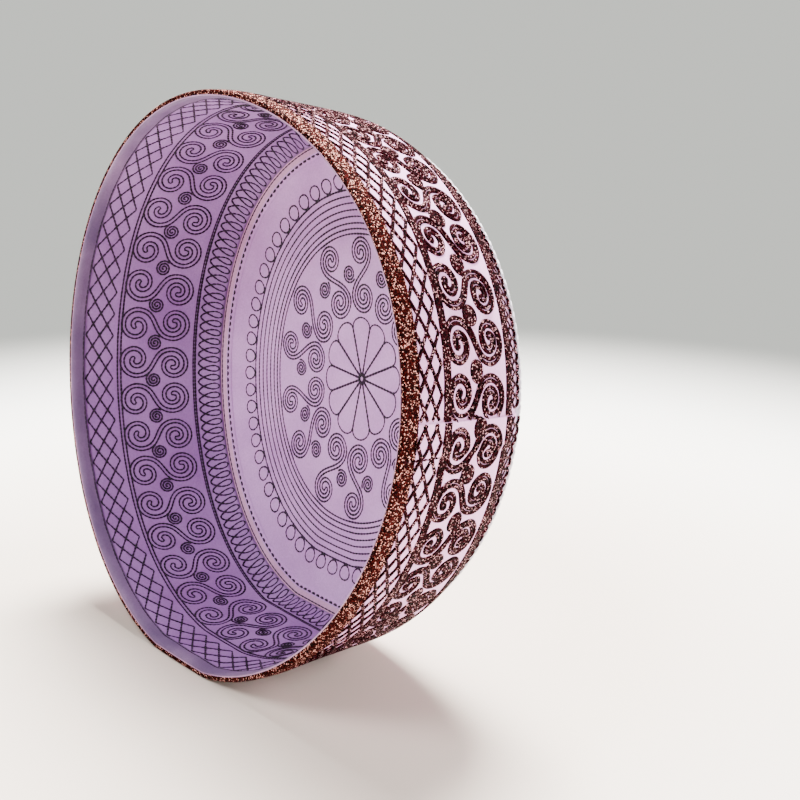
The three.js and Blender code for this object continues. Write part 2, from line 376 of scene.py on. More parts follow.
@dataclass(frozen=True)
class BandGround:
    """A face of the band. Its flat pattern is (angle times MM_PER_DEGREE, height)."""

    form: CapForm
    side: Side

    def lay(self, plane: Array, lift: Array) -> Array:
        """Places of points of the flat pattern, at a height above the cloth."""
        angle = plane[..., 0] / MM_PER_DEGREE
        height = plane[..., 1]
        if self.side is Side.OUTSIDE:
            radius = self.form.wall(height) + self.form.lap_rise(angle) + lift
        else:
            inner = self.form.wall(height) - self.form.band_thickness
            radius = inner - self.form.corner_fill(height) - lift
        return self.form.place(angle, radius, height)


@dataclass(frozen=True)
class CrownGround:
    """A face of the crown panel. Its flat pattern is seen from inside, x away from angle 90."""

    form: CapForm
    side: Side

    def lay(self, plane: Array, lift: Array) -> Array:
        """Places of points of the flat pattern, at a height above the cloth."""
        radius = np.hypot(plane[..., 0], plane[..., 1])
        angle = np.degrees(np.arctan2(-plane[..., 0], -plane[..., 1]))
        under = 0.0 if self.side is Side.OUTSIDE else self.form.crown_thickness
        return self.form.place(angle, radius, self.form.dome(radius) - under + self.side.value * lift)


def arc_length(stroke: Array) -> Array:
    """Length along a stroke from its start to each of its points."""
    steps = np.hypot(*np.diff(stroke, axis=0).T)
    return np.concatenate([[0.0], np.cumsum(steps)])


def directions(stroke: Array) -> Array:
    """Unit vectors along a stroke, from the difference of each point's neighbours."""
    slope = np.gradient(stroke, axis=0)
    if np.allclose(stroke[0], stroke[-1]):
        slope[0] = slope[-1] = stroke[1] - stroke[-2]
    return slope / np.maximum(np.hypot(slope[:, 0], slope[:, 1]), 1e-9)[:, None]


def leftwards(ahead: Array) -> Array:
    """Vectors of the flat pattern, turned a quarter to the left."""
    return together(-ahead[..., 1], ahead[..., 0])


def beside(stroke: Array, distance: float) -> Array:
    """The stroke moved to its left by a distance."""
    return stroke + distance * leftwards(directions(stroke))


def read_line(line: Array, length: Array, at: Array) -> Array:
    """The two columns of a line at some lengths along it."""
    return together(*(np.interp(at, length, column) for column in line.T))


def evenly(stroke: Array, step: float) -> Array:
    """The stroke with its points a step apart along its length."""
    length = arc_length(stroke)
    at = np.linspace(0.0, length[-1], max(int(round(length[-1] / step)), 2) + 1)
    return read_line(stroke, length, at)


def from_centre(centre: Spot, away: Array, way: Array) -> Array:
    """Points at some distances from a centre, in directions given in radians."""
    return together(centre[0] + away * np.cos(way), centre[1] + away * np.sin(way))


@dataclass(frozen=True)
class Spiral:
    """A spiral drawn inwards and clockwise: the radius less the pitch for each turn.

    It starts in a direction given in degrees anticlockwise from the right.
    """

    eye: Spot
    radius: float
    pitch: float
    turns: float
    start: float

    def draw(self) -> Array:
        """Points from its start inwards."""
        turn = np.linspace(0.0, self.turns, int(self.turns * SPIRAL_POINTS) + 1)
        way = np.radians(self.start - 360.0 * turn)
        return from_centre(self.eye, self.radius - self.pitch * turn, way)


def bezier(points: list[Array], count: int) -> Array:
    """A cubic curve of four control points: the usual weights of t and 1 - t."""
    t = np.linspace(0.0, 1.0, count)[:, None]
    a, b, c, d = (np.array(p, float) for p in points)
    return (1 - t) ** 3 * a + 3 * t * (1 - t) ** 2 * b + 3 * t * t * (1 - t) * c + t**3 * d


def outline(line: Array, half: float) -> Array:
    """The closed outline of a ribbon: both sides of its line and a half circle round each end."""
    left, right = beside(line, half), beside(line, -half)
    ahead = directions(line)

    def cap(at: Array, way: Array) -> Array:
        """Half circle about a point, from its left side round its front to its right side."""
        turn = np.radians(np.linspace(END_HALF_TURN, -END_HALF_TURN, END_POINTS))[:, None]
        return at + half * (np.cos(turn) * way + np.sin(turn) * leftwards(way))

    front, back = cap(line[-1], ahead[-1]), cap(line[0], -ahead[0])
    return np.concatenate([left, front, right[::-1], back, left[:1]])


def circle(radius: float, count: int) -> Array:
    """A closed circle about the origin with a number of sides."""
    return from_centre((0.0, 0.0), radius, np.linspace(0.0, 2 * np.pi, count + 1))


def turned(stroke: Array, degrees: float) -> Array:
    """The stroke turned about the origin."""
    c, s = math.cos(math.radians(degrees)), math.sin(math.radians(degrees))
    return stroke @ np.array([[c, s], [-s, c]])


def mirrored(stroke: Array) -> Array:
    """The stroke mirrored left to right."""
    return stroke * np.array([-1.0, 1.0])


@dataclass(frozen=True)
class ScrollPair:
    """Two mirrored scrolls about an upright axis, and two small spirals beside their stems."""

    upper: Spiral
    lower: Spiral
    buds: tuple[Spiral, Spiral]
    reach: float
    half_width: float

    def stem(self) -> Array:
        """The left scroll's line: out of the upper eye, down the stem and into the lower eye."""
        above, below = self.upper.draw()[::-1], self.lower.draw()
        leave, meet = above[-1], below[0]
        down = np.array([0.0, -self.reach])
        joint = bezier([leave, leave + down, meet - down, meet], JOINT_POINTS)
        return np.concatenate([above[:-1], joint, below[1:]])

    def scrolls(self, step: float) -> list[Array]:
        """Outlines of the two scrolls."""
        left = evenly(outline(self.stem(), self.half_width), step)
        return [left, mirrored(left)]

    def small(self, step: float) -> list[Array]:
        """The two small spirals, each starting at the stem that it springs from."""
        return [evenly(bud.draw(), step) for bud in self.buds]


BAND_PAIR = ScrollPair(
    upper=Spiral((-6.2, 38.6), 6.0, 3.3, 1.52, 180.0),
    lower=Spiral((-7.9, 24.2), 6.0, 3.7, 1.36, 0.0),
    buds=(Spiral((-14.1, 31.6), 3.0, 0.98, 2.7, 40.0), Spiral((0.4, 31.2), 3.0, 0.98, 2.7, -40.0)),
    reach=9.0,
    half_width=0.72,
)

CROWN_PAIR = ScrollPair(
    upper=Spiral((-8.2, 42.0), 5.0, 2.7, 1.5, 180.0),
    lower=Spiral((-6.6, 27.2), 5.4, 2.8, 1.6, 0.0),
    buds=(Spiral((-13.8, 33.4), 3.2, 1.0, 2.8, 40.0), Spiral((0.6, 35.9), 3.2, 1.0, 2.8, -40.0)),
    reach=7.0,
    half_width=0.66,
)


@dataclass(frozen=True)
class Coil:
    """A coil of tall loops: its two heights, degrees to a loop, and how far it swings back."""

    low: float
    high: float
    spacing: float
    swing: float
    belly: float = 0.45
    points: int = 20


@dataclass(frozen=True)
class BandPattern:
    """The pattern of the band's strip, drawn flat as (angle times MM_PER_DEGREE, height)."""

    pair_width: float = 28.6
    pair_count: int = 20
    pair_axes: Table = (
        (-1, -103.2), (0, -84.2), (1, -65.6), (3, -29.4), (6, 24.8), (8, 60.5), (10, 97.5),
        (13, 153.0), (16, 208.7), (18, 247.7), (19, 267.0), (20, 286.4),
    )
    crossings: Table = (
        (-2, -101.2), (0, -90.8), (5, -65.2), (17, -5.6), (29, 54.3), (35, 84.6), (49, 155.3),
        (63, 226.1), (70, 261.5), (73, 276.6),
    )
    lattice_low: float = 5.4
    lattice_high: float = 15.5
    lattice_step: float = 0.1
    first_bud: Spot = (1.4, 1.6)
    lap_end: float = -94.1
    margin: float = 0.3
    line_margin: float = 0.1
    line_points: int = 361

    def clip(self, strokes: list[Array], margin: float) -> list[Array]:
        """Keeps what lies between the strip's two ends.

        Args:
            strokes: strokes of the flat pattern.
            margin: plain cloth left at the top end, in degrees.

        Returns:
            The pieces of the strokes that lie on the strip.
        """
        low = (self.lap_end + margin) * MM_PER_DEGREE
        high = (self.lap_end + 360.0) * MM_PER_DEGREE
        kept = []
        for stroke in strokes:
            inside = (stroke[:, 0] >= low) & (stroke[:, 0] <= high)
            edges = np.flatnonzero(np.diff(inside.astype(int))) + 1
            runs = np.split(np.arange(len(stroke)), edges)
            kept += [stroke[run] for run in runs if inside[run[0]] and len(run) > 2]
        return kept

    def on_strip(self, drawn: list[Array]) -> list[Array]:
        """Repeats strokes drawn about a pair's axis at the place of every pair on the strip."""
        made = []
        for pair in range(self.pair_count):
            for stroke in drawn:
                angle = read_table(self.pair_axes, pair + stroke[:, 0] / self.pair_width)
                made.append(together(angle * MM_PER_DEGREE, stroke[:, 1]))
        return made

    def scrolls(self, step: float) -> list[Array]:
        """Outlines of all the scrolls."""
        return self.clip(self.on_strip(BAND_PAIR.scrolls(step)), self.margin)

    def buds(self, step: float) -> list[Array]:
        """All the small spirals. The first one is moved in, whole, onto the strip's end."""
        first, *others = self.on_strip(BAND_PAIR.small(step))
        return [first + np.array(self.first_bud), *self.clip(others, self.line_margin)]

    def lattice(self) -> list[Array]:
        """Four zigzags, a quarter apart: each falls and rises by turns over four crossings."""
        first, last = self.crossings[0][0], self.crossings[-1][0]
        at = np.arange(first, last + self.lattice_step / 2, self.lattice_step)
        place = read_table(self.crossings, at) * MM_PER_DEGREE
        strokes = []
        for start in range(4):
            share = np.abs(np.mod((at - start) / 2.0, 2.0) - 1.0)
            height = self.lattice_low + (self.lattice_high - self.lattice_low) * share
            strokes.append(together(place, height))
        return self.clip(strokes, self.line_margin)

    def loops(self, coil: Coil) -> list[Array]:
        """A coil of tall loops right along the strip.

        The height is a cosine. The way along is a steady advance, plus a sine that turns the coil
        back on itself, less a sine twice as fast that rounds the loops.
        """
        count = 360.0 / coil.spacing
        turn = np.linspace(0.0, 2 * np.pi * count, int(count * coil.points) + 1)
        advance = coil.spacing * MM_PER_DEGREE * turn / (2 * np.pi)
        back = coil.swing * np.sin(turn) - coil.belly * np.sin(2 * turn)
        height = (coil.low + coil.high) / 2 - (coil.high - coil.low) / 2 * np.cos(turn)
        return self.clip([together(self.lap_end * MM_PER_DEGREE + advance + back, height)], self.margin)

    def lines(self, heights: tuple[float, ...]) -> list[Array]:
        """Lines right along the strip at some heights."""
        low, high = self.lap_end + self.line_margin, self.lap_end + 360.0
        x = np.linspace(low, high, self.line_points) * MM_PER_DEGREE
        return [together(x, height) for height in heights]


@dataclass(frozen=True)
class CrownPattern:
    """The pattern of the crown panel, drawn flat as seen from inside."""

    petals: int = 12
    petal_turn: float = 5.3
    notch: float = 17.3
    tip: float = 20.8
    pairs: int = 7
    first_axis: float = 5.4
    rings: tuple[float, ...] = (49.0, 50.7, 52.6, 54.8, 57.0, 59.3, 61.6, 63.8)
    chain_count: int = 62
    chain_radius: float = 66.8
    link_half_width: float = 2.9
    link_half_height: float = 2.55
    link_taper: float = 0.14
    link_points: int = 23
    heart: float = 0.8
    points: int = 25

    def repeated(self, strokes: list[Array], first: float, count: int) -> list[Array]:
        """Strokes drawn upwards, repeated so that upwards becomes evenly spread angles of the cap.

        Args:
            strokes: strokes to repeat.
            first: the cap's angle that the first copy faces.
            count: how many copies there are.

        Returns:
            All the copies, one set after the other.
        """
        axes = first + np.arange(count) * 360.0 / count
        return [turned(stroke, 180.0 - axis) for axis in axes for stroke in strokes]

    def spokes(self) -> list[Array]:
        """The lines between the flower's petals."""
        spoke = together(0.0, np.linspace(self.heart, self.notch, self.points))
        return self.repeated([spoke], self.petal_turn, self.petals)

    def petal_arcs(self) -> list[Array]:
        """The ends of the flower's petals: each bulges like half an ellipse."""
        half = 180.0 / self.petals
        share = np.linspace(-1.0, 1.0, self.points)
        away = self.notch + (self.tip - self.notch) * np.sqrt(np.clip(1.0 - share**2, 0.0, 1.0))
        way = np.radians(share * half)
        arc = together(-away * np.sin(way), away * np.cos(way))
        return self.repeated([arc], self.petal_turn + half, self.petals)

    def scrolls(self, step: float) -> list[Array]:
        """Outlines of all the scrolls round the flower."""
        return self.repeated(CROWN_PAIR.scrolls(step), self.first_axis, self.pairs)

    def buds(self, step: float) -> list[Array]:
        """All the small spirals round the flower."""
        return self.repeated(CROWN_PAIR.small(step), self.first_axis, self.pairs)

    def ring_lines(self) -> list[Array]:
        """The rings round the scrolls, with four sides to a millimetre of radius."""
        return [circle(radius, int(radius * 4)) for radius in self.rings]

    def chain(self) -> list[Array]:
        """Links side by side round the rings: ovals whose inner halves narrow like a drop."""
        way = np.linspace(0.0, 2 * np.pi, self.link_points)
        narrow = 1.0 - self.link_taper + self.link_taper * np.cos(way)
        x = self.link_half_width * np.sin(way) * narrow
        link = together(x, self.chain_radius + self.link_half_height * np.cos(way))
        return self.repeated([link], 0.0, self.chain_count)


@dataclass(frozen=True)
class Thread:
    """A laid thread: a low strip with a rounded top, whose edges sink into what it lies on."""

    width: float
    crest: float
    sink: float = 0.12
    base: float = 0.0  # height above the ground of what it lies on
    pitch: float = 1.5  # from one run stitch to the next
    gap: float = 0.03  # share of the pitch that is left bare
    top: float = 0.55  # width of a strip's top as a share of its foot
    taper: float = 0.75  # width and crest of a run stitch's ends as a share of its middle

    def section(self) -> Array:
        """Corners of its section as (across, lift)."""
        half = self.width / 2
        low, high = self.base - self.sink, self.base + self.crest
        return np.array([(-half, low), (-half * self.top, high), (half * self.top, high), (half, low)])

    def strips(self, ground: Ground, strokes: list[Array]) -> ClothGrid:
        """Unbroken thread along each stroke, its section carried square to the stroke.

        Args:
            ground: the cloth that it lies on.
            strokes: its paths on the flat pattern.

        Returns:
            One grid that holds them all. U is ten millimetres along the thread, V is across it.
        """
        section = self.section()
        sides = len(section)
        points, uv, quads = [], [], []
        base = 0
        for stroke in strokes:
            ring = np.allclose(stroke[0], stroke[-1])
            path = stroke[:-1] if ring else stroke
            left = leftwards(directions(stroke))[: len(path)]
            plane = path[:, None] + section[:, :1] * left[:, None]
            points.append(ground.lay(plane, section[:, 1]).reshape(-1, 3))
            along = arc_length(path)[:, None] / MM_PER_CM
            uv.append(together(along, np.linspace(0.0, 1.0, sides)).reshape(-1, 2))
            quads.append(grid_faces(len(path), sides, ring, True) + base)
            if not ring:
                first = np.arange(sides)[None, :] + base
                quads += [first, first[:, ::-1] + (len(path) - 1) * sides]
            base += len(path) * sides
        return ClothGrid(np.concatenate(points), np.concatenate(uv), (np.concatenate(quads),))

    def stitches(self, ground: Ground, strokes: list[Array]) -> ClothGrid:
        """Run stitches along each stroke: low ridges that taper at both ends.

        Args:
            ground: the cloth that they lie on.
            strokes: their paths on the flat pattern.

        Returns:
            One grid that holds them all. U is ten millimetres along the stroke, V is across it.
        """
        share = np.array([0.0, 0.5, 1.0])
        rows = self.gap / 2 + (1 - self.gap) * share
        taper = np.array([self.taper, 1.0, self.taper])[:, None]
        wide = taper * self.width * (share - 0.5)
        ridge = np.array([0.0, 1.0, 0.0])
        high = self.base - self.sink + ridge * (self.sink + self.crest * taper)
        points, uv = [], []
        for stroke in strokes:
            far = arc_length(stroke)
            count = max(int(round(far[-1] / self.pitch)), 1)
            at = (np.arange(count)[:, None] + rows) * far[-1] / count
            centre, way = (read_line(line, far, at) for line in (stroke, directions(stroke)))
            way /= np.maximum(np.hypot(way[..., 0], way[..., 1]), 1e-6)[..., None]
            plane = centre[:, :, None] + wide[..., None] * leftwards(way)[:, :, None]
            points.append(ground.lay(plane, high).reshape(-1, 3))
            uv.append(together(at[:, :, None] / MM_PER_CM, share).reshape(-1, 2))
        place = np.concatenate(points)
        corners = len(share) ** 2
        base = np.arange(0, len(place), corners)[:, None, None]
        ends = np.array([[0, 1, 2], [8, 7, 6]])
        quads = grid_faces(len(share), len(share), False, True)
        faces = ((quads + base).reshape(-1, 4), (ends + base).reshape(-1, 3))
        return ClothGrid(place, np.concatenate(uv), faces)


@dataclass(frozen=True)
class StitchField:
    """How closely a flat pattern is stitched: marks on a raster, blurred like ink."""

    low: Spot
    step: float
    marks: Array
    pull: float = 2.2

    @classmethod
    def over(
        cls,
        strokes: list[Array],
        low: Spot,
        high: Spot,
        step: float,
        spread: float,
    ) -> "StitchField":
        """Marks evenly spaced points of the strokes and blurs them with a bell.

        Args:
            strokes: strokes of the flat pattern.
            low: the raster's lowest corner.
            high: its highest corner.
            step: distance from one of its places to the next.
            spread: the bell's spread.

        Returns:
            The blurred raster.
        """
        shape = [int((h - l) / step) + 2 for l, h in zip(low, high)]
        marks = np.zeros(shape)
        for stroke in strokes:
            dots = np.round((evenly(stroke, step / 2) - np.array(low)) / step).astype(int)
            held = np.all((dots >= 0) & (dots < np.array(shape)), axis=1)
            marks[dots[held, 0], dots[held, 1]] = 1.0
        waves = [np.fft.fftfreq(n, d=step) for n in shape]
        bell = np.exp(-2.0 * (np.pi * spread) ** 2 * (waves[0][:, None] ** 2 + waves[1][None, :] ** 2))
        return cls(low, step, np.fft.ifft2(np.fft.fft2(marks) * bell).real)

    def drawn(self, plane: Array) -> Array:
        """How far the stitches draw the cloth in at points of the flat pattern, from 0 to 1.

        It is the density there, weighted between the raster's four neighbours, times the pull.
        """
        spot = (plane - np.array(self.low)) / self.step
        last = np.array(self.marks.shape) - 1
        spot = np.clip(spot, 0.0, last - 0.001)
        i, j = np.floor(spot[..., 0]).astype(int), np.floor(spot[..., 1]).astype(int)
        u, v = spot[..., 0] - i, spot[..., 1] - j
        near, far = (self.marks[k, j] * (1 - v) + self.marks[k, j + 1] * v for k in (i, i + 1))
        return np.clip((near * (1 - u) + far * u) * self.pull, 0.0, 1.0)


class Shader:
    """A material's node tree, with short calls to add and join its nodes."""

    def __init__(self, name: str) -> None:
        """Starts a material with its output and its surface shader."""
        self.material = bpy.data.materials.new(name)
        self.material.use_nodes = True
        self.tree = self.material.node_tree
        self.tree.nodes.clear()
        self.surface = self.add("ShaderNodeBsdfPrincipled", "surface")
        output = self.add("ShaderNodeOutputMaterial", "output")
        self.join(self.surface, "BSDF", output, "Surface")
        self.map = self.add("ShaderNodeTexCoord", "places")

    def add(self, kind: str, name: str, **values: object) -> bpy.types.Node:
        """Adds a node and sets its named properties or inputs."""
        node = self.tree.nodes.new(kind)
        node.name = node.label = name
        for key, value in values.items():
            if hasattr(node, key):
                setattr(node, key, value)
            else:
                node.inputs[key.replace("_", " ").title()].default_value = value
        return node

    def join(self, source: bpy.types.Node, out: str | int, target: bpy.types.Node, into: str | int) -> None:
        """Links one node's output to another's input."""
        self.tree.links.new(source.outputs[out], target.inputs[into])

    def fix(self, **values: float | Colour) -> None:
        """Sets uniform values on the surface shader's own sockets."""
        for key, value in values.items():
            socket = self.surface.inputs[key.replace("_", " ").title().replace("Ior", "IOR")]
            socket.default_value = (*value, 1.0) if isinstance(value, tuple) else value

    def noise(self, name: str, scale: float, detail: float = 2.0) -> bpy.types.Node:
        """Adds a cloudy pattern that stays with the object."""
        node = self.add("ShaderNodeTexNoise", name, scale=scale, detail=detail)
        self.join(self.map, "Object", node, "Vector")
        return node

    def wave(self, name: str, direction: str, **values: float) -> bpy.types.Node:
        """Adds a striped pattern that follows the UV places."""
        node = self.add("ShaderNodeTexWave", name, bands_direction=direction, **values)
        self.join(self.map, "UV", node, "Vector")
        return node

    def ramp(self, name: str, source: bpy.types.Node, out: str, stops: Stops) -> bpy.types.Node:
        """Adds a colour ramp with the given stops."""
        node = self.add("ShaderNodeValToRGB", name)
        elements = node.color_ramp.elements
        while len(elements) < len(stops):
            elements.new(0.5)
        for element, (place, colour) in zip(elements, stops):
            element.position = place
            element.color = (*colour, 1.0)
        self.join(source, out, node, "Fac")
        return node

    def bump(self, name: str, height: bpy.types.Node, out: str | int, depth: float, strength: float) -> None:
        """Raises the surface by a pattern, after any bump that is already there."""
        node = self.add("ShaderNodeBump", name, strength=strength, distance=depth)
        socket = self.surface.inputs["Normal"]
        if socket.is_linked:
            self.tree.links.new(socket.links[0].from_socket, node.inputs["Normal"])
        self.join(height, out, node, "Height")
        self.join(node, "Normal", self.surface, "Normal")


@dataclass(frozen=True)
class WovenCloth:
    """Fine smooth cloth: two crossing sets of threads, soft blotches and a light sheen."""

    name: str
    colour: Colour
    shade: Colour
    threads: float = 22.0
    roughness: float = 0.62
    sheen: float = 0.25
    grain: Colour = (0.82, 0.82, 0.84)

    def material(self) -> bpy.types.Material:
        """Builds the material. Its UV places are in centimetres of cloth."""
        shader = Shader(self.name)
        blotch = shader.noise("blotches", scale=42.0, detail=3.0)
        tone = shader.ramp("cloth tone", blotch, "Fac", [(0.3, self.shade), (0.7, self.colour)])
        weave = shader.add("ShaderNodeMath", "weave", operation="MULTIPLY")
        for into, (name, direction) in enumerate((("warp", "X"), ("weft", "Y"))):
            wave = shader.wave(name, direction, scale=self.threads / 2.0, distortion=1.2, detail=1.0)
            shader.join(wave, "Fac", weave, into)
        grain = shader.noise("grain", scale=1500.0)
        dim = shader.ramp("grain tone", grain, "Fac", [(0.25, self.grain), (0.75, grey(1.0))])
        mix = shader.add("ShaderNodeMix", "grained cloth", data_type="RGBA", blend_type="MULTIPLY")
        mix.inputs["Factor"].default_value = 1.0
        shader.join(tone, "Color", mix, MIX_A)
        shader.join(dim, "Color", mix, MIX_B)
        shader.join(mix, MIX_RESULT, shader.surface, "Base Color")
        crease = shader.noise("creases", scale=210.0, detail=3.0)
        shader.bump("weave relief", weave, "Value", depth=0.00012, strength=0.5)
        shader.bump("soft creases", crease, "Fac", depth=0.0006, strength=0.35)
        shader.fix(roughness=self.roughness, sheen_weight=self.sheen, sheen_roughness=0.4)
        shader.fix(specular_ior_level=0.35)
        return shader.material


@dataclass(frozen=True)
class GlitterThread:
    """Dark twisted thread with foil specks that catch the light, their glint painted into their colour."""

    name: str
    dark: Colour
    light: Colour
    glint: Colour
    # The foil cells wear the glint colour: a painted glint, on top of their own slight metal shine.
    glints: float = 0.3  # share of the cells that are foil
    grain: float = 1500.0
    ease: float = 0.01

    def material(self) -> bpy.types.Material:
        """Builds the material: each small cell is dull thread or a speck of foil painted with a bright
        glint.
        """
        shader = Shader(self.name)
        cells = shader.add("ShaderNodeTexVoronoi", "foil cells", scale=self.grain)
        shader.join(shader.map, "Object", cells, "Vector")
        parts = shader.add("ShaderNodeSeparateColor", "cell values")
        shader.join(cells, "Color", parts, "Color")
        edge = 1.0 - self.glints
        low, high = edge - self.ease, edge + self.ease
        thread = [(0.0, self.dark), (edge * 0.5, self.dark), (low, self.light)]
        # The last stop is a painted glint: bright colour that stands in for the light the foil catches.
        tone = shader.ramp("thread tone", parts, "Red", [*thread, (high, self.glint)])
        shader.join(tone, "Color", shader.surface, "Base Color")
        foil = shader.ramp("foil", parts, "Red", [(edge, grey(0.0)), (high, grey(0.3))])
        shader.join(foil, "Color", shader.surface, "Metallic")
        gloss = shader.ramp("gloss", parts, "Green", [(0.0, grey(0.35)), (1.0, grey(0.7))])
        shader.join(gloss, "Color", shader.surface, "Roughness")
        twist = shader.wave("twist", "DIAGONAL", scale=8.0)
        shader.bump("twist relief", twist, "Fac", depth=0.00025, strength=0.7)
        shader.bump("foil tilt", cells, "Distance", depth=0.00025, strength=0.8)
        shader.fix(specular_ior_level=0.01)
        return shader.material


@dataclass(frozen=True)
class StitchThread:
    """Matt thread of the stitches' back side, darker and lighter from stitch to stitch."""

    name: str
    dark: Colour
    light: Colour

    def material(self) -> bpy.types.Material:
        """Builds the material."""
        shader = Shader(self.name)
        tone = shader.noise("worn thread", scale=420.0, detail=3.0)
        ramp = shader.ramp("thread tone", tone, "Fac", [(0.35, self.dark), (0.7, self.light)])
        shader.join(ramp, "Color", shader.surface, "Base Color")
        twist = shader.wave("twist", "DIAGONAL", scale=10.0)
        shader.bump("twist relief", twist, "Fac", depth=0.0001, strength=0.5)
        shader.fix(roughness=0.6)
        return shader.material


OUTER_CLOTH = WovenCloth("outer_cotton", screen(255, 188, 240), screen(250, 170, 228))
INNER_CLOTH = WovenCloth("inner_cotton", screen(176, 130, 192), screen(156, 108, 174), sheen=0.05)
# The crown's lining is painted lighter and pinker than the band's: painted light, where light falls inside
# onto the crown.
LIT_CROWN_LINING = WovenCloth("crown_lining", screen(228, 172, 236), screen(208, 150, 218), sheen=0.05)
# The white piping is painted a little greyer than its white zigzag: painted shade between the stitches.
SHADED_PIPING_CLOTH = WovenCloth("piping_cotton", screen(222, 204, 226), screen(206, 188, 212), threads=30.0)
# The hem strip is one cloth: its face is painted darker with painted shade, its rolled edge at the rim paler
# with painted light.
SHADED_HEM_CLOTH = WovenCloth("hem_cotton", screen(142, 112, 150), screen(98, 76, 112), threads=16.0, sheen=0.0)
LIT_EDGE_CLOTH = WovenCloth("rim_edge_cotton_painted_light", screen(206, 160, 196), screen(170, 120, 164), sheen=0.0)
TAPE_CLOTH = WovenCloth("tape_cotton", screen(232, 178, 216), screen(210, 150, 194), sheen=0.0)
# Each glint colour below is a painted glint on the thread's foil specks.
METAL_THREAD = GlitterThread(
    "metallic_thread",
    dark=screen(17, 3, 9),
    light=screen(78, 22, 32),
    glint=screen(255, 186, 192),
    glints=0.075,
    grain=3000.0,
)
BINDING_THREAD = GlitterThread(
    "binding_thread",
    dark=screen(19, 3, 5),
    light=screen(86, 26, 22),
    glint=screen(255, 178, 164),
    glints=0.1,
    grain=3200.0,
)
DARK_STITCH = StitchThread("lining_stitch", screen(26, 0, 30), screen(50, 0, 54))
PALE_STITCH = StitchThread("piping_stitch", screen(255, 248, 255), screen(240, 228, 240))


